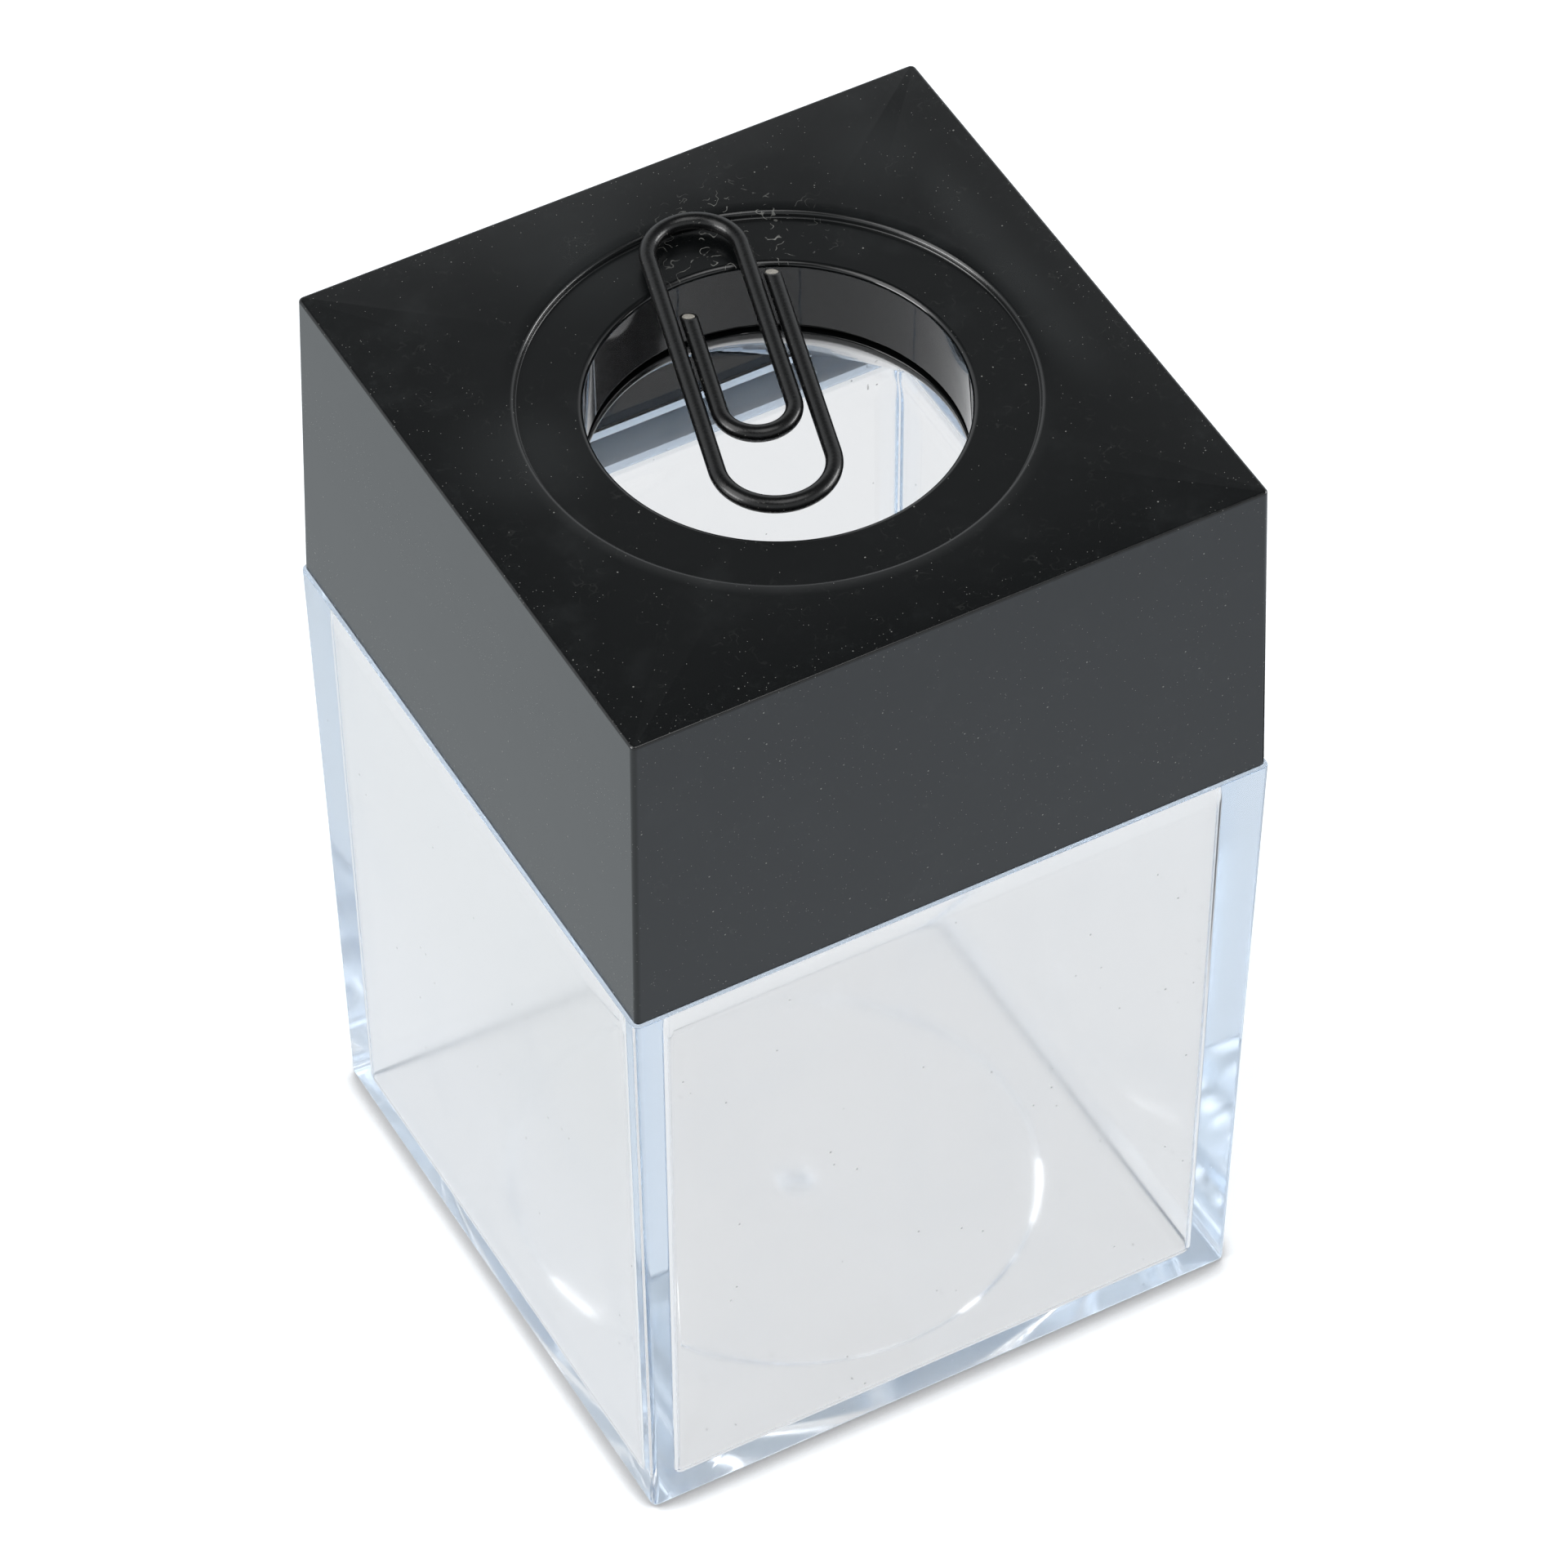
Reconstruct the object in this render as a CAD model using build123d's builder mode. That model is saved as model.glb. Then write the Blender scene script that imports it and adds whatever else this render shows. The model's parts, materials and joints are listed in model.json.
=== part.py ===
from build123d import *
from math import cos, radians, sin, sqrt, tan
import os

# Container: a clear square box whose walls lean outwards towards the rim
box_rim_width = 48.86
box_height = 52.8
box_draft = 1.12
box_corner_radius = 0.5
wall_thickness = 2.75
cavity_draft = 0.57
cavity_corner_radius = 0.75
floor_thickness = 1.3
foot_edge_radius = 0.45
floor_edge_radius = 0.7
rim_edge_radius = 0.15
underside_recess_radius = 17.9
underside_recess_depth = 0.4
underside_recess_round = 0.35
gate_nub_radius = 1.1
gate_nub_height = 0.25
gate_nub_round = 0.2

# Joint: a thin neck stands on the ledge of the box, inside the lid's skirt
neck_height = 4.0
neck_wall = 0.8
neck_corner_radius = 1.0
neck_clearance = 0.15
neck_edge_radius = 0.2
ledge_overhang = 0.22

# Lid: a one-piece cap with a deep leaning skirt
lid_height = 26.07
lid_draft = 1.1
lid_corner_radius = 0.4
lid_edge_radius = 0.22
lid_inner_corner_radius = 0.8
plate_thickness = 1.6
rebate_height = 5.8
rebate_depth = 0.65
skirt_edge_radius = 0.15

# Magnet seat: a shallow round recess, a bore through it and a tube under it
recess_radius = 17.45
recess_depth = 0.5
recess_lip_radius = 0.25
recess_root_radius = 0.2
bore_radius = 12.95
bore_lip_radius = 0.4
tube_wall = 1.2
tube_end_radius = 0.45
seat_wall = 1.1
seat_height = 3.0

# Ring magnet and the ring that keeps it on the tube, with a funnel that leads clips to the bore
magnet_radius = 18.0
magnet_thickness = 3.5
magnet_chamfer = 0.3
magnet_clearance = 0.15
retainer_thickness = 1.6
retainer_socket_depth = 0.7
retainer_clearance = 0.05
retainer_lip_radius = 0.35
retainer_chamfer = 0.4
funnel_throat_drop = 0.67
funnel_height = 9.6
funnel_clearance = 0.19
funnel_rim_width = 0.6
funnel_rim_height = 1.0
funnel_root_width = 2.25
funnel_throat_round = 0.3

# Paper clip: a coated steel wire bent into three loops, its far one resting on the recess's lip
clip_length = 28.8
clip_width = 9.0
clip_inner_length = 22.1
clip_outer_leg_start = 6.3
clip_inner_leg_start = 9.2
clip_leg_gap = 0.2
wire_radius = 0.45
coat_thickness = 0.15
clip_heading = -105.7
clip_side_shift = -1.75
clip_lip_overlap = 0.4
clip_lift = 0.4
half_turn = 180

# Faces and edges closer in height than this count as one level
same_height = 0.001


def lean(height, draft):
    return height * tan(radians(draft))


def tapered_block(width, height, draft, corner_radius):
    with BuildPart(mode=Mode.PRIVATE) as block:
        with BuildSketch():
            Rectangle(width, width)
        extrude(amount=height, taper=draft)
        fillet(block.edges().filter_by(Plane.XY, reverse=True), corner_radius)
    return block.part


def level_faces(piece):
    return piece.faces().filter_by(Axis.Z).sort_by(Axis.Z)


def rings_at(piece, height):
    rings = piece.edges().filter_by(GeomType.CIRCLE)
    return rings.filter_by(lambda ring: abs(ring.arc_center.Z - height) < same_height).sort_by(SortBy.RADIUS)


os.makedirs("parts", exist_ok=True)
upside_down = (half_turn, 0, 0)

# Heights of the stacked faces, from the foot upwards
ledge_z = box_height
neck_top_z = ledge_z + neck_height
top_z = ledge_z + lid_height
recess_z = top_z - recess_depth
plate_under_z = top_z - plate_thickness
magnet_under_z = plate_under_z - magnet_thickness
tube_end_z = magnet_under_z - retainer_socket_depth
retainer_under_z = magnet_under_z - retainer_thickness

# Widths that the two mouldings share at the ledge
lid_foot_width = box_rim_width - 2 * ledge_overhang
lip_wall = wall_thickness - neck_wall - ledge_overhang - neck_clearance
lip_width = lid_foot_width - 2 * lip_wall
neck_width = lip_width - 2 * neck_clearance
cavity_width = box_rim_width - 2 * wall_thickness

# Container
with BuildPart() as container:
    with Locations((0, 0, ledge_z)):
        outside = tapered_block(box_rim_width, box_height, box_draft, box_corner_radius)
        add(outside, rotation=upside_down)
    foot_edges = container.edges().group_by(Axis.Z)[0]
    fillet(foot_edges, foot_edge_radius)
    rim_edges = container.edges().group_by(Axis.Z)[-1]
    fillet(rim_edges, rim_edge_radius)
    with Locations((0, 0, ledge_z)):
        add(tapered_block(neck_width, neck_height, lid_draft, neck_corner_radius))
    mouth_width = cavity_width + 2 * lean(neck_height, cavity_draft)
    cavity_depth = neck_top_z - floor_thickness
    with Locations((0, 0, neck_top_z)):
        cavity = tapered_block(mouth_width, cavity_depth, cavity_draft, cavity_corner_radius)
        add(cavity, rotation=upside_down, mode=Mode.SUBTRACT)
    fillet(container.edges().group_by(Axis.Z)[-1], neck_edge_radius)
    fillet(level_faces(container)[1].edges(), floor_edge_radius)
    with BuildSketch():
        Circle(underside_recess_radius)
    extrude(amount=underside_recess_depth, mode=Mode.SUBTRACT)
    fillet(level_faces(container)[1].edges(), underside_recess_round)
    with BuildSketch(Plane.XY.offset(underside_recess_depth - gate_nub_height)):
        Circle(gate_nub_radius)
    extrude(amount=gate_nub_height)
    fillet(rings_at(container, underside_recess_depth - gate_nub_height), gate_nub_round)
container.part.label = "container"
export_step(container.part, "parts/container.step")

# Lid
tube_radius = bore_radius + tube_wall
seat_radius = magnet_radius + magnet_clearance
with BuildPart() as lid:
    with Locations((0, 0, ledge_z)):
        add(tapered_block(lid_foot_width, lid_height, lid_draft, lid_corner_radius))
    fillet(lid.edges().group_by(Axis.Z)[-1], lid_edge_radius)
    with Locations((0, 0, ledge_z)):
        rebate = tapered_block(lip_width, rebate_height, lid_draft, lid_inner_corner_radius)
        add(rebate, mode=Mode.SUBTRACT)
    rebate_z = ledge_z + rebate_height
    inner_width = lip_width - 2 * lean(rebate_height, lid_draft) - 2 * rebate_depth
    inner_height = plate_under_z - rebate_z
    with Locations((0, 0, rebate_z)):
        hollow = tapered_block(inner_width, inner_height, lid_draft, lid_inner_corner_radius)
        add(hollow, mode=Mode.SUBTRACT)
    fillet(lid.edges().group_by(Axis.Z)[0], skirt_edge_radius)
    with BuildSketch(Plane.XY.offset(tube_end_z)):
        Circle(tube_radius)
    extrude(amount=plate_under_z - tube_end_z)
    with BuildSketch(Plane.XY.offset(plate_under_z - seat_height)):
        Circle(seat_radius + seat_wall)
        Circle(seat_radius, mode=Mode.SUBTRACT)
    extrude(amount=seat_height)
    with BuildSketch(Plane.XY.offset(recess_z)):
        Circle(recess_radius)
    extrude(amount=recess_depth, mode=Mode.SUBTRACT)
    with BuildSketch(Plane.XY.offset(tube_end_z)):
        Circle(bore_radius)
    extrude(amount=recess_z - tube_end_z, mode=Mode.SUBTRACT)
    fillet(rings_at(lid, top_z)[-1], recess_lip_radius)
    fillet(rings_at(lid, recess_z)[-1], recess_root_radius)
    fillet(rings_at(lid, recess_z)[0], bore_lip_radius)
    fillet(rings_at(lid, tube_end_z)[0], tube_end_radius)
lid.part.label = "lid"
export_step(lid.part, "parts/lid.step")

# Ring magnet, round the tube and inside the seat
with BuildPart() as ring_magnet:
    with BuildSketch(Plane.XY.offset(magnet_under_z)):
        Circle(magnet_radius)
        Circle(tube_radius + magnet_clearance, mode=Mode.SUBTRACT)
    extrude(amount=magnet_thickness)
    chamfer(ring_magnet.edges().filter_by(GeomType.CIRCLE), magnet_chamfer)
ring_magnet.part.label = "ring_magnet"
export_step(ring_magnet.part, "parts/ring_magnet.step")

# Retaining ring: its socket takes the tube's end and its funnel carries the bore on
throat_z = retainer_under_z - funnel_throat_drop
funnel_rim_z = throat_z - funnel_height
lid_half_width = inner_width / 2 - lean(funnel_rim_z + funnel_rim_height - rebate_z, lid_draft)
funnel_rim_outside = lid_half_width - funnel_clearance
funnel_rim_radius = funnel_rim_outside - funnel_rim_width
with BuildPart() as magnet_retainer:
    with BuildSketch(Plane.XY.offset(retainer_under_z)):
        Circle(seat_radius + seat_wall)
        Circle(bore_radius, mode=Mode.SUBTRACT)
    extrude(amount=retainer_thickness)
    with BuildSketch(Plane.XY.offset(tube_end_z)):
        Circle(tube_radius + retainer_clearance)
    extrude(amount=retainer_socket_depth, mode=Mode.SUBTRACT)
    fillet(rings_at(magnet_retainer, tube_end_z)[0], retainer_lip_radius)
    chamfer(rings_at(magnet_retainer, retainer_under_z)[-1], retainer_chamfer)
    with BuildSketch(Plane.XZ):
        with BuildLine():
            Polyline(
                (funnel_rim_radius, funnel_rim_z),
                (funnel_rim_outside, funnel_rim_z),
                (funnel_rim_outside, funnel_rim_z + funnel_rim_height),
                (bore_radius + funnel_root_width, retainer_under_z),
                (bore_radius, retainer_under_z),
                (bore_radius, throat_z),
                close=True,
            )
        make_face()
    revolve(axis=Axis.Z)
    fillet(rings_at(magnet_retainer, throat_z), funnel_throat_round)
magnet_retainer.part.label = "magnet_retainer"
export_step(magnet_retainer.part, "parts/magnet_retainer.step")

# Paper clip's centre line: legs along the clip's own X axis, from its far loop to its near one
coat_radius = wire_radius + coat_thickness
outer_leg = clip_width / 2 - coat_radius
inner_leg = outer_leg - 2 * coat_radius - clip_leg_gap
far_radius = (outer_leg + inner_leg) / 2
far_reach = recess_radius + clip_lip_overlap - coat_radius - far_radius
far_side = clip_side_shift + (inner_leg - outer_leg) / 2
far_x = -sqrt(far_reach**2 - far_side**2)
tip_x = far_x - far_radius
near_x = tip_x + clip_length - 2 * coat_radius - outer_leg
inner_x = tip_x + clip_inner_length - 2 * coat_radius - inner_leg
clip_plane = Plane(
    origin=(
        -clip_side_shift * sin(radians(clip_heading)),
        clip_side_shift * cos(radians(clip_heading)),
        recess_z + clip_lift + coat_radius,
    ),
    x_dir=(cos(radians(clip_heading)), sin(radians(clip_heading)), 0),
    z_dir=(0, 0, 1),
)
with BuildLine(clip_plane) as clip_line:
    Line((tip_x + clip_outer_leg_start, outer_leg), (near_x, outer_leg))
    JernArc((near_x, outer_leg), (1, 0), outer_leg, -half_turn)
    Line((near_x, -outer_leg), (far_x, -outer_leg))
    JernArc((far_x, -outer_leg), (-1, 0), far_radius, -half_turn)
    Line((far_x, inner_leg), (inner_x, inner_leg))
    JernArc((inner_x, inner_leg), (1, 0), inner_leg, -half_turn)
    Line((inner_x, -inner_leg), (tip_x + clip_inner_leg_start, -inner_leg))
clip_path = clip_line.wire()
clip_end = Plane(origin=clip_path @ 0, z_dir=clip_path % 0)

# Paper clip's steel wire
with BuildPart() as clip_wire:
    with BuildSketch(clip_end):
        Circle(wire_radius)
    sweep(path=clip_path)
clip_wire.part.label = "clip_wire"
export_step(clip_wire.part, "parts/clip_wire.step")

# Paper clip's coating, cut off flush with the wire at both ends
with BuildPart() as clip_coating:
    with BuildSketch(clip_end):
        Circle(coat_radius)
        Circle(wire_radius, mode=Mode.SUBTRACT)
    sweep(path=clip_path)
clip_coating.part.label = "clip_coating"
export_step(clip_coating.part, "parts/clip_coating.step")
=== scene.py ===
import json
import math
import bmesh
import bpy
from mathutils import Matrix, Vector

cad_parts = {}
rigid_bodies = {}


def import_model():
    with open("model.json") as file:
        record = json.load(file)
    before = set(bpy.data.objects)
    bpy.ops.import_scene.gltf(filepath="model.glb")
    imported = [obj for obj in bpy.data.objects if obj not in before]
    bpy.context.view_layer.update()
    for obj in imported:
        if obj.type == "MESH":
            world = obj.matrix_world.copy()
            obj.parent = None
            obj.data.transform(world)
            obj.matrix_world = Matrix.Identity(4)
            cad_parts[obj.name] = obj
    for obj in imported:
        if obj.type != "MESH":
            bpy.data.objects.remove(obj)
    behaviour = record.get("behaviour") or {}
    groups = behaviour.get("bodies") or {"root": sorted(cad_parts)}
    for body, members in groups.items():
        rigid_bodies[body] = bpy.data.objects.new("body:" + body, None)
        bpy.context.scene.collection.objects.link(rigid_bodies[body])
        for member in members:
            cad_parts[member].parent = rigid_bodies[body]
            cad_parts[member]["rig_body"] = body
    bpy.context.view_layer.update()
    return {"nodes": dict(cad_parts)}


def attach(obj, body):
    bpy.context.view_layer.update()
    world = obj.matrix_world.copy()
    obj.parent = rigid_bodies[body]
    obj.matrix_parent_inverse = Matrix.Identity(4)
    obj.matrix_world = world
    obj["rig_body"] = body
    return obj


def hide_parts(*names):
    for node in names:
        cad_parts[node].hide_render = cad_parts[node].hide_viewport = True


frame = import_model()
scene = bpy.context.scene
scene.view_settings.view_transform = "Standard"
bounceLimit = 96  # light runs a long way inside the clear walls
for limit in ("max_bounces", "transmission_bounces", "glossy_bounces"):
    setattr(scene.cycles, limit, bounceLimit)
mmPerMetre = 1000.0  # shapes and patterns are worked out in millimetres
print("frame loaded:", ", ".join(sorted(frame["nodes"])))


camera = {
    "place": (-0.196687, -0.360256, 0.484836), "turn": (42.74696, 0.26678, -28.95292),
    "lens": 199.937, "sensor": 36, "clip": (0.05, 20),
}
lookout = bpy.data.cameras.new("camera")
lookout.lens, lookout.sensor_width = camera["lens"], camera["sensor"]
lookout.clip_start, lookout.clip_end = camera["clip"]
cameraObject = bpy.data.objects.new("camera", lookout)
cameraObject.location = camera["place"]
cameraObject.rotation_euler = [math.radians(angle) for angle in camera["turn"]]
scene.collection.objects.link(cameraObject)
scene.camera = cameraObject


# a socket that can be added, multiplied and so on
class Flow:
    def __init__(self, tree, socket=None):
        self.tree, self.socket = tree, socket

    def node(self, kind, settings=None, values=None, out=0):
        made = self.tree.nodes.new("ShaderNode" + kind)
        for key, value in (settings or {}).items():
            setattr(made, key, value)
        for key, value in (values or {}).items():
            if isinstance(value, Flow):
                self.tree.links.new(value.socket, made.inputs[key])
            else:
                made.inputs[key].default_value = value
        return Flow(self.tree, made.outputs[out] if made.outputs else None)

    def other(self, name):
        return Flow(self.tree, self.socket.node.outputs[name])

    def math(self, operation, *terms):
        return self.node("Math", {"operation": operation}, dict(enumerate(terms)))

    def __add__(self, term):
        return self.math("ADD", self, term)

    def __radd__(self, term):
        return self.math("ADD", term, self)

    def __sub__(self, term):
        return self.math("SUBTRACT", self, term)

    def __rsub__(self, term):
        return self.math("SUBTRACT", term, self)

    def __mul__(self, term):
        return self.math("MULTIPLY", self, term)

    def __rmul__(self, term):
        return self.math("MULTIPLY", term, self)

    def __abs__(self):
        return self.math("ABSOLUTE", self)

    def most(self, term):
        return self.math("MAXIMUM", self, term)

    def least(self, term):
        return self.math("MINIMUM", self, term)

    def ramp(self, low, high):  # 0 at low, 1 at high, eased; low may be the larger
        return self.node("MapRange", {"interpolation_type": "SMOOTHSTEP"},
                         {"Value": self, "From Min": low, "From Max": high})

    def tint(self, first, second):  # this value leads from one colour to the other
        colors = [c if isinstance(c, Flow) else (*c, 1) for c in (first, second)]
        return self.node("Mix", {"data_type": "RGBA"}, {"Factor": self, 6: colors[0], 7: colors[1]}, 2)

    def noise(self, scale, detail=3, roughness=0.55):
        return self.node("TexNoise", None, {
            "Vector": self, "Scale": scale, "Detail": detail, "Roughness": roughness,
        })

    def specks(self, scale, size, share):  # round grains where a cell's point lies near the surface
        core = 0.35  # the part of a grain's radius that is fully covered
        cell = self.node("TexVoronoi", None, {"Vector": self, "Scale": scale})
        luck = self.node("SeparateColor", None, {"Color": cell.other("Color")})
        return cell.ramp(size * scale, size * scale * core) * (luck + share).ramp(1.0, 1.01)

    def awayFrom(self, point):
        return self.node("VectorMath", {"operation": "DISTANCE"}, {0: self, 1: point}, 1)

    def stretched(self, turn, stretch):
        return self.node("Mapping", None, {"Vector": self, "Rotation": turn, "Scale": stretch})

    def bumps(self, strength, distance):
        return self.node("Bump", None, {"Strength": strength, "Distance": distance, "Height": self})

    def parts(self):
        split = self.node("SeparateXYZ", None, {"Vector": self})
        return split, split.other("Y"), split.other("Z")


def newFinish(name):
    material = bpy.data.materials.new(name)
    material.use_nodes = True
    material.node_tree.nodes.clear()
    make = Flow(material.node_tree)
    coords = make.node("TexCoord", out="Object")
    inMm = make.node("VectorMath", {"operation": "SCALE"}, {0: coords, "Scale": mmPerMetre})
    return material, make, inMm


print("shader kit ready")


# clear plastic: a blue cast in its thickness, hazy walls, crisp edges, a few specks and rubbed patches, and painted
# blue light on its neck
clearLook = {
    "ior": 1.58, "cast": (0.66, 0.83, 1.0), "density": 13.0,
    "clean": (1.0, 1.0, 1.0), "worn": (0.985, 0.99, 0.995),
    "wall": 0.08, "rubbed": 0.1, "edge": 0.035, "fillet": 0.15, "scratch": 0.05,  # roughness of each place
    "outerSkin": (22.6, 22.8), "edgeBand": (19.5, 21.0), "footBand": (3.5, 2.0), "filletBand": (19.9, 20.4),
    "nearSide": (-30, -40), "nearBand": (19.5, 20.5),
    "rubScale": 0.09, "rubRange": (0.5, 0.72),
    "hairTurn": (0.4, 0.9, 0.3), "hairStretch": (0.25, 6.0, 6.0), "hairScale": 1.4, "hairRange": (0.66, 0.74),
    "speckScale": 0.55, "speckSize": 0.11, "speckShare": 0.36, "speckCover": 0.7,
    "speckColor": (0.1, 0.105, 0.11), "speckPale": (0.6, 0.6, 0.59), "speckMix": 0.7, "speckRough": 0.8,
    # painted light on the neck: the colour, share and height band of a blue diffuse veil
    "paintedNeckBlue": (0.38, 0.64, 0.95), "paintedNeckShare": 0.14, "neckFrom": (52.9, 53.2), "neckTo": (56.7, 56.5),
}
clearPlastic, make, inMm = newFinish("clear_plastic")
x, y, z = inMm.parts()
widest, narrowest = abs(x).most(abs(y)), abs(x).least(abs(y))
outer = widest.ramp(*clearLook["outerSkin"])
nearCorner = (x + y).ramp(*clearLook["nearSide"]) * narrowest.ramp(*clearLook["nearBand"])
crisp = outer * narrowest.ramp(*clearLook["edgeBand"]).most(z.ramp(*clearLook["footBand"]))
crisp = crisp.most(nearCorner)
fillet = (1 - outer) * narrowest.ramp(*clearLook["filletBand"]) * (1 - nearCorner)
rubbed = inMm.noise(clearLook["rubScale"], 4).ramp(*clearLook["rubRange"])
hairlines = inMm.stretched(clearLook["hairTurn"], clearLook["hairStretch"])
scratches = hairlines.noise(clearLook["hairScale"], 2).ramp(*clearLook["hairRange"]) * rubbed
wall = clearLook["wall"]
rough = wall + rubbed * (clearLook["rubbed"] - wall) + scratches * clearLook["scratch"]
rough = rough + fillet * (clearLook["fillet"] - wall) - crisp * (wall - clearLook["edge"])
glassy = make.node("BsdfPrincipled", None, {
    "Base Color": rubbed.tint(clearLook["clean"], clearLook["worn"]), "Roughness": rough,
    "IOR": clearLook["ior"], "Transmission Weight": 1.0,
})
speck = inMm.specks(clearLook["speckScale"], clearLook["speckSize"], clearLook["speckShare"])
grain = make.node("BsdfPrincipled", None, {
    "Base Color": inMm.noise(clearLook["speckMix"]).tint(clearLook["speckColor"], clearLook["speckPale"]),
    "Roughness": clearLook["speckRough"],
})
skin = make.node("MixShader", None, {0: speck * clearLook["speckCover"], 1: glassy, 2: grain})
# painted light: a blue diffuse veil on the neck stands in for the darker, bluer light that the walls carry into it
paintedNeckLight = make.node("BsdfDiffuse", None, {"Color": (*clearLook["paintedNeckBlue"], 1)})
onNeck = z.ramp(*clearLook["neckFrom"]) * z.ramp(*clearLook["neckTo"])
skin = make.node("MixShader", None, {0: onNeck * clearLook["paintedNeckShare"], 1: skin, 2: paintedNeckLight})
depth = make.node("VolumeAbsorption", None, {"Color": (*clearLook["cast"], 1), "Density": clearLook["density"]})
make.node("OutputMaterial", None, {"Surface": skin, "Volume": depth})


# black plastic: smooth satin outside, polished inside, dusty on its edges and skirt, lint by the clip, and a painted
# lighter sheen band near the right-hand edge of its top
blackLook = {
    "black": (0.003, 0.0035, 0.0037), "hazeAndSheen": (0.016, 0.018, 0.0185), "dust": (0.3, 0.3, 0.28), "ior": 1.5,
    "satin": 0.2, "polish": 0.015, "smudged": 0.12, "grained": 0.03, "dusted": 0.4,  # roughness and what adds to it
    "foot": 52.8, "lean": 0.0192, "innerFace": (23.4, 23.2), "innerTop": (78.3, 78.1),
    "edgeAt": 24.21, "edgeReach": 3.5, "edgeHeight": (75.5, 78.6), "skirtHeight": (77, 74),
    "cloudScale": 0.16, "cloudRange": (0.5, 0.78), "cloudShare": 0.3, "top": 78.87,
    "rubs": [(-5, 19, 9, 0.5), (19.5, -3.5, 4, 0.25), (-17.5, 3, 7, 0.6), (17, 17, 6, 0.5)],  # x, y, reach, strength
    # the wipe keys place a painted reflection: a lighter band along the right of the top, where the surface curves near
    # the edge
    "rubBase": 0.4, "paintedSheenAt": 19.4, "paintedSheenReach": 2.8, "paintedSheenFrom": (-12, -3), "paintedSheenTo": (21, 8),
    "paintedSheenBase": 0.35, "paintedSheenStrength": 0.55,
    "fineScale": 9.0, "patchScale": 0.3, "patchRange": (0.42, 0.7),
    "fineDust": {"scale": 3.4, "size": 0.04, "share": 0.07, "edges": 0.42, "patches": 0.2, "skirt": 0.3},
    "grit": {"scale": 1.0, "size": 0.08, "share": 0.16, "edges": 0.25, "skirt": 0.3},
    "lintAt": (4.6, 13.6, 78.6), "lintReach": (7.5, 2.0), "lintShare": 0.85, "strayShare": 0.05,
    "strandScale": 1.1, "strandWidth": (0.02, 0.008), "gapScale": 0.8, "gapRange": (0.5, 0.56),
    "wearScale": 1.3, "wearRange": (0.5, 0.8), "wearShare": 0.5, "dustCover": 0.75,
    "waveScale": 0.3, "waveDepth": 0.00001, "innerWaves": 2.2, "outerWaves": 0.5, "fineWaves": 0.02,
}
blackPlastic, make, inMm = newFinish("black_plastic")
x, y, z = inMm.parts()
outward = abs(x).most(abs(y)) + (z - blackLook["foot"]) * blackLook["lean"]
inside = outward.ramp(*blackLook["innerFace"]) * z.ramp(*blackLook["innerTop"])
outside = 1 - inside
nearEdge = abs(outward - blackLook["edgeAt"]).ramp(blackLook["edgeReach"], 0.0) * z.ramp(*blackLook["edgeHeight"])
onSkirt = z.ramp(*blackLook["skirtHeight"])
cloud = inMm.noise(blackLook["cloudScale"], 5, 0.6)
smudgeAndSheen = cloud.ramp(*blackLook["cloudRange"]) * blackLook["cloudShare"]
for rubX, rubY, reach, strength in blackLook["rubs"]:
    rub = inMm.awayFrom((rubX, rubY, blackLook["top"])).ramp(reach, 0.0)
    smudgeAndSheen = smudgeAndSheen.most(rub * (blackLook["rubBase"] + cloud) * strength)
# painted reflection: a lighter sheen band along the right of the top, mixed in with the real smudges
paintedSheen = abs(x - blackLook["paintedSheenAt"]).ramp(blackLook["paintedSheenReach"], 0.0)
paintedSheen = paintedSheen * y.ramp(*blackLook["paintedSheenFrom"]) * y.ramp(*blackLook["paintedSheenTo"])
smudgeAndSheen = smudgeAndSheen.most(paintedSheen * (blackLook["paintedSheenBase"] + cloud) * blackLook["paintedSheenStrength"]) * outside
fine = inMm.noise(blackLook["fineScale"], 2)
patchy = inMm.noise(blackLook["patchScale"], 3).ramp(*blackLook["patchRange"])
dust, grit = blackLook["fineDust"], blackLook["grit"]
dustShare = dust["share"] + nearEdge * dust["edges"] + patchy * dust["patches"] + onSkirt * dust["skirt"]
gritShare = grit["share"] + nearEdge * grit["edges"] + onSkirt * grit["skirt"]
grains = inMm.specks(dust["scale"], dust["size"], dustShare).most(inMm.specks(grit["scale"], grit["size"], gritShare))
nearClip = inMm.awayFrom(blackLook["lintAt"]).ramp(*blackLook["lintReach"])
strands = abs(inMm.noise(blackLook["strandScale"], 1) - 0.5).ramp(*blackLook["strandWidth"])
strands = strands * inMm.noise(blackLook["gapScale"], 2).ramp(*blackLook["gapRange"])
fibres = strands * (nearClip * blackLook["lintShare"] + patchy * blackLook["strayShare"])
dusty = grains.most(fibres) * outside
wornEdge = nearEdge * inMm.noise(blackLook["wearScale"], 4, 0.7).ramp(*blackLook["wearRange"]) * outside
body = (smudgeAndSheen + wornEdge * blackLook["wearShare"]).least(1.0).tint(blackLook["black"], blackLook["hazeAndSheen"])
satin = blackLook["satin"] + smudgeAndSheen * blackLook["smudged"] + fine * blackLook["grained"] + dusty * blackLook["dusted"]
waves = inMm.noise(blackLook["waveScale"], 1)
relief = waves * inside * blackLook["innerWaves"] + waves * blackLook["outerWaves"] + fine * blackLook["fineWaves"]
black = make.node("BsdfPrincipled", None, {
    "Base Color": (dusty * blackLook["dustCover"]).tint(body, blackLook["dust"]),
    "Roughness": inside * blackLook["polish"] + outside * satin,
    "IOR": blackLook["ior"], "Normal": relief.bumps(1.0, blackLook["waveDepth"]),
})
make.node("OutputMaterial", None, {"Surface": black})


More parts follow.
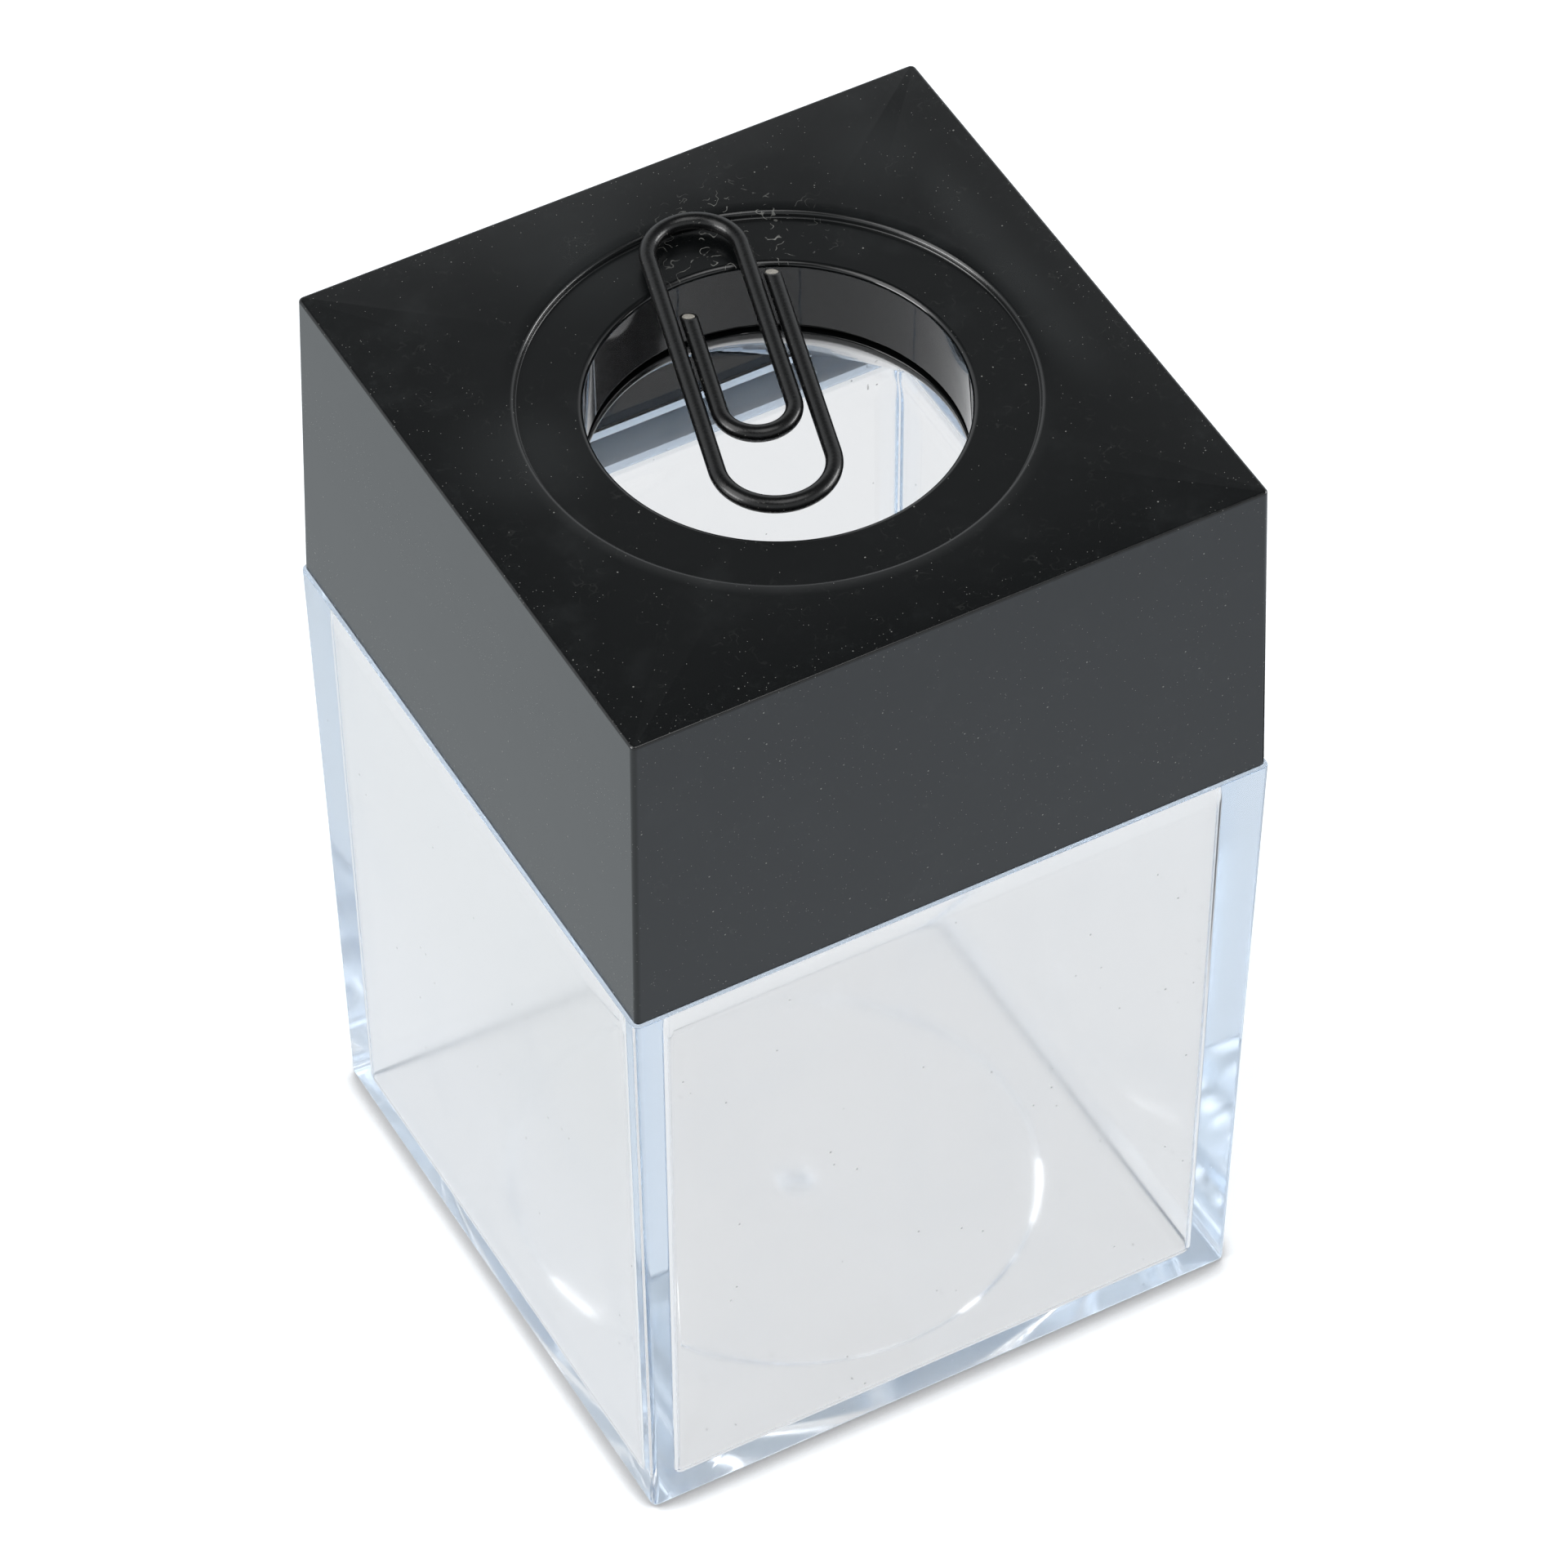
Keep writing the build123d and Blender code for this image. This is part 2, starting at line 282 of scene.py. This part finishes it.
# ferrite: dull, sintered grain
ferriteLook = {
    "dark": (0.02, 0.02, 0.022), "pale": (0.06, 0.06, 0.062), "grainScale": 5.0, "grainRange": (0.3, 0.7),
    "rough": 0.55, "roughGrain": 0.2, "bump": 0.3, "bumpDepth": 0.0001,
}
ferrite, make, inMm = newFinish("ferrite")
sinter = inMm.noise(ferriteLook["grainScale"], 6, 0.7)
ferriteShader = make.node("BsdfPrincipled", None, {
    "Base Color": sinter.ramp(*ferriteLook["grainRange"]).tint(ferriteLook["dark"], ferriteLook["pale"]),
    "Roughness": ferriteLook["rough"] + sinter * ferriteLook["roughGrain"],
    "Normal": sinter.bumps(ferriteLook["bump"], ferriteLook["bumpDepth"]),
})
make.node("OutputMaterial", None, {"Surface": ferriteShader})


# vinyl coating of the clip: soft sheen, dust caught along its sides
vinylLook = {
    "black": (0.0016, 0.0017, 0.0018), "faded": (0.004, 0.004, 0.0042), "dust": (0.24, 0.23, 0.21), "ior": 1.42,
    "sheen": 0.24, "peel": 0.08, "dusted": 0.4,  # roughness and what adds to it
    "peelScale": 4.0, "fadeScale": 0.6, "flank": (79.93, 79.62),  # dust stays on the sides, not on the rubbed top
    "grains": [(3.4, 0.05, 0.55), (1.5, 0.085, 0.5)],  # scale, size, share
    "dustScale": 0.25, "dustRange": (0.3, 0.6), "dustCover": 0.8, "bump": 0.2, "bumpDepth": 0.00005,
}
clipVinyl, make, inMm = newFinish("clip_vinyl")
peel = inMm.noise(vinylLook["peelScale"], 3)
flank = inMm.parts()[2].ramp(*vinylLook["flank"])
small, large = (inMm.specks(*grains) for grains in vinylLook["grains"])
lint = small.most(large) * inMm.noise(vinylLook["dustScale"], 2).ramp(*vinylLook["dustRange"]) * flank
coat = inMm.noise(vinylLook["fadeScale"], 3).tint(vinylLook["black"], vinylLook["faded"])
vinyl = make.node("BsdfPrincipled", None, {
    "Base Color": (lint * vinylLook["dustCover"]).tint(coat, vinylLook["dust"]),
    "Roughness": vinylLook["sheen"] + peel * vinylLook["peel"] + lint * vinylLook["dusted"],
    "IOR": vinylLook["ior"], "Normal": peel.bumps(vinylLook["bump"], vinylLook["bumpDepth"]),
})
make.node("OutputMaterial", None, {"Surface": vinyl})


# bare wire: sheared, grey with a warm tarnish
steelLook = {
    "dark": (0.28, 0.26, 0.22), "pale": (0.62, 0.59, 0.53), "shearRange": (0.3, 0.7),
    "shearTurn": (0.2, 0.3, 0.7), "shearStretch": (14.0, 2.0, 14.0),
    "metal": 0.65, "tarnish": 0.3, "rough": 0.4, "roughShear": 0.2, "bump": 0.4, "bumpDepth": 0.00004,
}
clipSteel, make, inMm = newFinish("clip_steel")
shear = inMm.stretched(steelLook["shearTurn"], steelLook["shearStretch"]).noise(1.0, 4)
steel = make.node("BsdfPrincipled", None, {
    "Base Color": shear.ramp(*steelLook["shearRange"]).tint(steelLook["dark"], steelLook["pale"]),
    "Metallic": steelLook["metal"] - shear * steelLook["tarnish"],
    "Roughness": steelLook["rough"] + shear * steelLook["roughShear"],
    "Normal": shear.bumps(steelLook["bump"], steelLook["bumpDepth"]),
})
make.node("OutputMaterial", None, {"Surface": steel})
print("finishes made")


# the shapes below are worked out in millimetres and scaled to metres when they are finished
cornerSteps, edgeSteps = 8, 6
same, near = 1e-4, 1e-3  # how close two places have to be
sharpFrom, flatWeight = 38, 100  # degrees between faces; how far large faces lead the shading


def roundEdges(bm, edges, offset, steps):
    bmesh.ops.bevel(bm, geom=list(edges), offset=offset, segments=steps, profile=0.5, affect="EDGES", material=-1)


def leaningBlock(bm, low, high, lowWidth, highWidth, corner, hollow=False):
    old = set(bm.faces)
    verts = bmesh.ops.create_cube(bm, size=1.0)["verts"]
    bmesh.ops.translate(bm, verts=verts, vec=(0, 0, 0.5))
    bmesh.ops.scale(bm, verts=verts, vec=(lowWidth, lowWidth, high - low))
    bmesh.ops.translate(bm, verts=verts, vec=(0, 0, low))
    lean = highWidth / lowWidth
    bmesh.ops.scale(bm, verts=[v for v in verts if v.co.z > (low + high) / 2], vec=(lean, lean, 1))
    upright = {e for v in verts for e in v.link_edges if abs(e.verts[0].co.z - e.verts[1].co.z) > near}
    roundEdges(bm, upright, corner, cornerSteps)
    if hollow:  # its faces look inwards, so that loops are bridged without a twist
        bmesh.ops.reverse_faces(bm, faces=[f for f in bm.faces if f not in old])


def flatEnd(bm, height):
    return next(f for f in bm.faces if len(f.verts) > 4 and all(abs(v.co.z - height) < same for v in f.verts))


# takes a block's flat end off and gives its outline
def openEnd(bm, height, rounding=0.0):
    if rounding:
        roundEdges(bm, flatEnd(bm, height).edges, rounding, edgeSteps)
    end = flatEnd(bm, height)
    outline = list(end.edges)
    bmesh.ops.delete(bm, geom=[end], context="FACES_ONLY")
    return outline


# puts a block on an open outline: its own lower end comes off and the two are bridged
def blockFrom(bm, outline, low, high, widths, corner, hollow=False):
    leaningBlock(bm, low, high, *widths, corner, hollow)
    bmesh.ops.bridge_loops(bm, edges=outline + openEnd(bm, low))


# spins a profile of (radius, height, rounding) points about the upright axis
def turned(bm, profile, steps, closed=False, lookUp=False):
    oldFaces = set(bm.faces)
    verts = [bm.verts.new((radius, 0, height)) for radius, height, _ in profile]
    ends = verts[1:] + (verts[:1] if closed else [])
    old = set(bm.edges)
    for pair in zip(verts, ends):
        bm.edges.new(pair)
    for vert, (_, _, rounding) in zip(verts, profile):
        if rounding:
            bmesh.ops.bevel(bm, geom=[vert], offset=rounding, segments=edgeSteps,
                            profile=0.5, affect="VERTICES", material=-1)
    outline = [e for e in bm.edges if e not in old]
    corners = list({v for e in outline for v in e.verts})
    bmesh.ops.spin(bm, geom=outline + corners, cent=(0, 0, 0), axis=(0, 0, 1), angle=math.tau,
                   steps=steps, use_merge=True)
    fresh = [f for f in bm.faces if f not in oldFaces]
    bmesh.ops.recalc_face_normals(bm, faces=fresh)
    if lookUp and sum(f.normal.z for f in fresh) < 0:
        bmesh.ops.reverse_faces(bm, faces=fresh)


def ringAt(bm, radius, height):
    def onRing(v):
        return abs(v.co.z - height) < near and abs(math.hypot(v.co.x, v.co.y) - radius) < near
    return [e for e in bm.edges if e.is_boundary and onRing(e.verts[0]) and onRing(e.verts[1])]


# joins a square outline to the ring that a turned profile's point left:
# the square's long sides are split until both have as many edges
def joinRing(bm, outline, point):
    ring = ringAt(bm, *point[:2])
    longest = sorted(outline, key=lambda e: e.calc_length())[-4:]
    split = bmesh.ops.subdivide_edges(bm, edges=longest, cuts=(len(ring) - len(outline)) // 4)["geom_split"]
    pieces = {g for g in split if isinstance(g, bmesh.types.BMEdge) and g.is_boundary}
    bmesh.ops.bridge_loops(bm, edges=list(pieces.union(e for e in outline if e.is_valid)) + ring)


def finishPiece(bm, name, node, material):
    bmesh.ops.remove_doubles(bm, verts=bm.verts, dist=same)
    bmesh.ops.recalc_face_normals(bm, faces=bm.faces)
    openEdges = sum(1 for e in bm.edges if not e.is_manifold)
    bulk = bm.calc_volume(signed=True)
    bmesh.ops.scale(bm, verts=bm.verts, vec=[1 / mmPerMetre] * 3)
    for face in bm.faces:
        face.smooth = True
    mesh = bpy.data.meshes.new(name)
    bm.to_mesh(mesh)
    bm.free()
    mesh.set_sharp_from_angle(angle=math.radians(sharpFrom))
    mesh.materials.append(material)
    piece = bpy.data.objects.new(name, mesh)
    scene.collection.objects.link(piece)
    even = piece.modifiers.new("even_faces", "WEIGHTED_NORMAL")  # flat faces stay flat beside rounded edges
    even.weight = flatWeight
    even.keep_sharp = True
    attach(piece, frame["nodes"][node]["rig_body"])
    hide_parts(node)
    print(name, "made:", len(mesh.polygons), "faces,", openEdges, "open edges,", round(bulk), "cubic mm")


# clear box with its ledge, its neck, and the moulding marks in and under its floor
box = {
    "foot": 0.0, "ledge": 52.8, "width": (46.795, 48.86), "corner": 0.5, "footRounding": 0.45, "ledgeRounding": 0.07,
    "neckTop": 56.8, "neckWidth": (44.96, 44.806), "neckCorner": 1.0, "neckRounding": 0.08,
    "floor": 1.3, "cavityWidth": (42.335, 43.44), "cavityCorner": 0.75, "floorRounding": 0.7,
    "swelling": [  # height, how much thicker the wall is
        (49.0, 0.0), (49.6, 0.01), (50.2, 0.04), (50.8, 0.09), (51.3, 0.13), (51.8, 0.145), (52.4, 0.145), (54.0, 0.03),
    ],
    "sinkMark": [
        (0.0, 1.38, 0), (0.18, 1.4, 0.05), (0.45, 1.62, 0.14), (0.8, 1.5, 0.15), (1.05, 1.18, 0.12),
        (1.8, 1.18, 0), (2.7, 1.25, 0), (3.7, 1.3, 0), (4.2, 1.3, 0),
    ],
    "underside": [
        (0.0, 0.38, 0), (0.3, 0.38, 0.1), (0.55, 0.04, 0.12), (0.9, 0.04, 0.15), (1.4, 0.4, 0.2),
        (17.9, 0.4, 0.33), (17.9, 0.0, 0.06), (18.4, 0.0, 0),
    ],
    "sinkSteps": 192, "undersideSteps": 384,
}
bm = bmesh.new()
leaningBlock(bm, box["foot"], box["ledge"], *box["width"], box["corner"])
footLoop = openEnd(bm, box["foot"], box["footRounding"])
ledgeLoop = openEnd(bm, box["ledge"], box["ledgeRounding"])
blockFrom(bm, ledgeLoop, box["ledge"], box["neckTop"], box["neckWidth"], box["neckCorner"])
neckLoop = openEnd(bm, box["neckTop"], box["neckRounding"])
outerFaces = set(bm.faces)
leaningBlock(bm, box["floor"], box["neckTop"], *box["cavityWidth"], box["cavityCorner"], hollow=True)
for height, thicker in box["swelling"]:  # the walls swell a little below the neck
    faces = [f for f in bm.faces if f not in outerFaces]
    parts = {e for f in faces for e in f.edges} | {v for f in faces for v in f.verts}
    bmesh.ops.bisect_plane(bm, geom=faces + list(parts), dist=same, plane_co=(0, 0, height), plane_no=(0, 0, 1))
    ring = {v for f in bm.faces if f not in outerFaces for v in f.verts if abs(v.co.z - height) < near}
    inwards = 1 - 2 * thicker / box["cavityWidth"][1]
    bmesh.ops.scale(bm, verts=list(ring), vec=(inwards, inwards, 1))
roundEdges(bm, flatEnd(bm, box["floor"]).edges, box["floorRounding"], cornerSteps)
bmesh.ops.bridge_loops(bm, edges=neckLoop + openEnd(bm, box["neckTop"]))
floorLoop = openEnd(bm, box["floor"])
turned(bm, box["sinkMark"], box["sinkSteps"], lookUp=True)
joinRing(bm, floorLoop, box["sinkMark"][-1])
turned(bm, box["underside"], box["undersideSteps"])
joinRing(bm, footLoop, box["underside"][-1])
finishPiece(bm, "clear_box", "container", clearPlastic)


# black lid: deep skirt with a lead-in and a rebate, and a magnet seat moulded into its top
lid = {
    "foot": 52.82, "top": 78.87, "width": (48.42, 47.419), "corner": 0.4, "edge": 0.22, "skirtRounding": 0.15,
    "innerCorner": 0.8, "leadTop": 53.3, "leadWidth": (46.16, 45.26), "rebateTop": 58.6, "rebateWidth": (45.26, 45.037),
    "hollowTop": 77.27, "hollowWidth": (43.737, 43.02),
    "seat": [
        (18.6, 78.87, 0), (17.45, 78.87, 0.34), (17.45, 78.37, 0.12), (12.95, 78.37, 0.4), (12.95, 72.65, 0.12),
        (14.15, 72.65, 0), (14.15, 77.27, 0), (18.15, 77.27, 0), (18.15, 74.27, 0.1), (19.25, 74.27, 0.1),
        (19.25, 77.27, 0), (19.8, 77.27, 0),
    ],
    "seatSteps": 256,
}
bm = bmesh.new()
leaningBlock(bm, lid["foot"], lid["top"], *lid["width"], lid["corner"])
topLoop = openEnd(bm, lid["top"], lid["edge"])
innerLoop = openEnd(bm, lid["foot"], lid["skirtRounding"])
below = lid["foot"]
for step in ("lead", "rebate", "hollow"):  # three steps up the inside of the skirt
    above = lid[step + "Top"]
    blockFrom(bm, innerLoop, below, above, lid[step + "Width"], lid["innerCorner"], hollow=True)
    innerLoop = openEnd(bm, above)
    below = above
turned(bm, lid["seat"], lid["seatSteps"])
joinRing(bm, topLoop, lid["seat"][0])
joinRing(bm, innerLoop, lid["seat"][-1])
finishPiece(bm, "black_lid", "lid", blackPlastic)


# ring that keeps the magnet up, with a funnel that leads the clips to the bore; its wall bulges a little
retainer = {
    "profile": [
        (12.95, 71.97, 0.12), (13.6, 71.97, 0.1), (13.6, 72.6, 0), (14.2, 72.6, 0), (14.2, 73.77, 0.05),
        (19.25, 73.77, 0.05), (19.25, 72.17, 0.4), (15.2, 72.17, 0.3), (21.596, 62.9, 0.1), (21.596, 61.9, 0.1),
        (20.996, 61.9, 0.1), (18.9, 64.2, 0), (16.9, 66.5, 0), (15.0, 68.75, 0), (13.7, 70.3, 0), (12.95, 71.42, 0.15),
    ],
    "steps": 256,
}
bm = bmesh.new()
turned(bm, retainer["profile"], retainer["steps"], closed=True)
finishPiece(bm, "retaining_ring", "magnet_retainer", blackPlastic)


# paper clip: three legs and three loops, its far loop on the recess's lip, pointing at the near side
clip = {
    "outerLeg": 3.9, "farLoop": 3.2, "outerStart": -11.9, "innerEnd": -9.0,
    "farX": -13.8347, "nearX": 6.6653, "innerX": 1.3653, "nearSteps": 48, "farSteps": 44, "innerSteps": 36, "sides": 24,
    "coat": 0.6, "wire": 0.45, "wireGap": 0.002, "slant": 1.6, "heading": -105.7, "sideShift": -1.75, "height": 79.368,
    "coatRounding": 0.05, "coatSteps": 3, "wireRounding": 0.08, "wireSteps": 4, "capInset": 0.16, "capDepth": -0.015,
}


def leg(bm, front, reach):
    fresh = bmesh.ops.extrude_edge_only(bm, edges=front)["geom"]
    verts = [g for g in fresh if isinstance(g, bmesh.types.BMVert)]
    bmesh.ops.translate(bm, verts=verts, vec=(reach - verts[0].co.x, 0, 0))
    return [g for g in fresh if isinstance(g, bmesh.types.BMEdge) and g.verts[0] in verts and g.verts[1] in verts]


def loop(bm, front, centre, steps):
    corners = list({v for e in front for v in e.verts})
    last = bmesh.ops.spin(bm, geom=front + corners, cent=(*centre, 0), axis=(0, 0, 1), angle=-math.pi,
                          steps=steps)["geom_last"]
    return [g for g in last if isinstance(g, bmesh.types.BMEdge)]


# one tube along the whole clip; gives the outlines of its two ends
def clipTube(bm, radius):
    verts = bmesh.ops.create_circle(bm, segments=clip["sides"], radius=radius)["verts"]
    bmesh.ops.rotate(bm, verts=verts, cent=(0, 0, 0), matrix=Vector((1, 0, 0)).to_track_quat("Z", "Y").to_matrix())
    bmesh.ops.translate(bm, verts=verts, vec=(clip["outerStart"], clip["outerLeg"], 0))
    start = list({e for v in verts for e in v.link_edges})
    front = leg(bm, start, clip["nearX"])
    front = loop(bm, front, (clip["nearX"], 0), clip["nearSteps"])
    front = leg(bm, front, clip["farX"])
    front = loop(bm, front, (clip["farX"], clip["farLoop"] - clip["outerLeg"]), clip["farSteps"])
    front = leg(bm, front, clip["innerX"])
    front = loop(bm, front, (clip["innerX"], 0), clip["innerSteps"])
    ends = start, leg(bm, front, clip["innerEnd"])
    slanted = Matrix.Identity(4)
    slanted[0][2], slanted[0][3] = clip["slant"], clip["slant"] * clip["coat"]
    for end in ends:  # the cutter leaves both ends slanted, so they show from above
        bmesh.ops.transform(bm, matrix=slanted, verts=list({v for e in end for v in e.verts}))
    return ends


def layClip(bm):
    turn = math.radians(clip["heading"])
    shift = clip["sideShift"]
    spun = Vector((math.cos(turn), math.sin(turn), 0)).to_track_quat("X", "Z").to_matrix()
    bmesh.ops.rotate(bm, verts=bm.verts, cent=(0, 0, 0), matrix=spun)
    bmesh.ops.translate(bm, verts=bm.verts, vec=(-shift * math.sin(turn), shift * math.cos(turn), clip["height"]))


bm = bmesh.new()
outerEnds = clipTube(bm, clip["coat"])
skinFaces = set(bm.faces)
innerEnds = clipTube(bm, clip["wire"])
bmesh.ops.reverse_faces(bm, faces=[f for f in bm.faces if f not in skinFaces])
for outerEnd, innerEnd in zip(outerEnds, innerEnds):
    bmesh.ops.bridge_loops(bm, edges=outerEnd + innerEnd)
    roundEdges(bm, outerEnd, clip["coatRounding"], clip["coatSteps"])
layClip(bm)
finishPiece(bm, "clip_skin", "clip_coating", clipVinyl)

bm = bmesh.new()
for end in clipTube(bm, clip["wire"] - clip["wireGap"]):
    cap = bmesh.ops.edgeloop_fill(bm, edges=end)["faces"]
    bmesh.ops.inset_region(bm, faces=cap, thickness=clip["capInset"], depth=clip["capDepth"])
    roundEdges(bm, end, clip["wireRounding"], clip["wireSteps"])
layClip(bm)
finishPiece(bm, "clip_core", "clip_wire", clipSteel)

# the magnet is closed in by the lid and the ring, so its solid stays and takes the sintered finish
magnet = frame["nodes"]["ring_magnet"]
magnet.data.materials.clear()
magnet.data.materials.append(ferrite)
print("pieces made")


# white table: it glows a little for the camera, for gloss and for what is seen through the box;
# a contact shadow is painted into its colour and glow where the box stands on it; reflections find a dark card on its
# right-hand side
stage = {
    "size": 6.0, "height": -0.00005, "white": (0.76, 0.78, 0.8), "dim": (0.14, 0.15, 0.16), "unlit": (0, 0, 0),
    "contact": 0.0025, "contactRays": 8, "contactRange": (0.5, 0.86),
    "paintedShadowPaper": (0.36, 0.36, 0.37), "paintedShadowGlow": (0.21, 0.21, 0.21), "cameraGlow": (0.5, 0.5, 0.5),
    "glossFront": (0.745, 0.8, 0.86), "glossLeft": (0.66, 0.71, 0.73), "glossTurn": (-28, -40),
    "glassGlow": (0.705, 0.703, 0.702), "cardGlow": (0.01, 0.01, 0.01),
    "cardX": [(50, 56), (95, 85)], "cardY": [(-48, -42), (50, 44)],  # where the card fades in and out
}
table, make, inMm = newFinish("white_table")
x, y = inMm.parts()[:2]
path = make.node("LightPath", out="Is Camera Ray")
glass = path.other("Is Transmission Ray")
gloss = path.other("Is Glossy Ray") * (1 - glass)
card = path.other("Glossy Depth").ramp(0.4, 0.6)  # 1 after any reflection
for along, fades in ((x, stage["cardX"]), (y, stage["cardY"])):
    for fade in fades:
        card = card * along.ramp(*fade)
# painted contact shadow: ambient occlusion darkens the paper and its glow beside the box
openness = make.node("AmbientOcclusion", {"samples": stage["contactRays"]}, {"Distance": stage["contact"]}, "AO")
openness = openness.ramp(*stage["contactRange"])
shine = path.tint(stage["unlit"], openness.tint(stage["paintedShadowGlow"], stage["cameraGlow"]))
sheen = x.ramp(*stage["glossTurn"]).tint(stage["glossFront"], stage["glossLeft"])
shine = gloss.tint(shine, card.tint(sheen, stage["cardGlow"]))
shine = glass.tint(shine, card.tint(stage["glassGlow"], stage["cardGlow"]))
white = (path * (1 - openness)).tint(stage["white"], stage["paintedShadowPaper"])
white = glass.most(gloss).tint(white, card.tint(stage["dim"], stage["cardGlow"]))
paper = make.node("BsdfDiffuse", None, {"Color": white})
glow = make.node("Emission", None, {"Color": shine, "Strength": 1.0})
make.node("OutputMaterial", None, {"Surface": make.node("AddShader", None, {0: paper, 1: glow})})
bm = bmesh.new()
bmesh.ops.create_grid(bm, x_segments=2, y_segments=2, size=stage["size"] / 2)
bmesh.ops.translate(bm, verts=bm.verts, vec=(0, 0, stage["height"]))
tableMesh = bpy.data.meshes.new("table")
bm.to_mesh(tableMesh)
bm.free()
tableMesh.materials.append(table)
tableObject = bpy.data.objects.new("table", tableMesh)
scene.collection.objects.link(tableObject)


# studio: white low down all round, darker overhead, less dark for what is seen through the box
studio = {
    "low": (0.95, 0.98, 1.0), "high": (0.06, 0.065, 0.068), "glassHigh": (0.5, 0.53, 0.56), "rise": (0.53, 0.74),
    "cameraWhite": (1, 1, 1), "aim": (0, 0, 0.04),
}
world = bpy.data.worlds.new("studio")
scene.world = world
world.use_nodes = True
world.node_tree.nodes.clear()
make = Flow(world.node_tree)
path = make.node("LightPath", out="Is Camera Ray")
up = make.node("TexCoord", out="Generated").parts()[2]
above = path.other("Is Transmission Ray").tint(studio["high"], studio["glassHigh"])
room = up.ramp(*studio["rise"]).tint(studio["low"], above)
back = make.node("Background", None, {"Color": path.tint(room, studio["cameraWhite"]), "Strength": 1.0})
make.node("OutputWorld", None, {"Surface": back})

# two soft lamps light the set; two low panels only draw bright lines on polished edges
lamps = {
    "left_softbox": {"place": (-0.55, 0.12, 0.7), "size": (0.6, 0.6), "watts": 4.0, "lights": True},
    "overhead_softbox": {"place": (0.05, -0.25, 0.9), "size": (0.5, 0.5), "watts": 2.5, "lights": True},
    "left_panel": {"place": (-0.9, 0.12, 0.33), "size": (0.5, 0.3), "watts": 6.0, "lights": False},
    "right_panel": {"place": (0.88, -0.3, 0.3), "size": (0.6, 0.25), "watts": 6.0, "lights": False},
}
for name, setting in lamps.items():
    lamp = bpy.data.lights.new(name, "AREA")
    lamp.shape = "RECTANGLE"
    lamp.size, lamp.size_y = setting["size"]
    lamp.energy = setting["watts"]
    lampObject = bpy.data.objects.new(name, lamp)
    lampObject.location = setting["place"]
    lampObject.rotation_euler = (Vector(studio["aim"]) - lampObject.location).to_track_quat("-Z", "Y").to_euler()
    lampObject.visible_camera = False
    lampObject.visible_diffuse = setting["lights"]
    scene.collection.objects.link(lampObject)
print("studio lit")
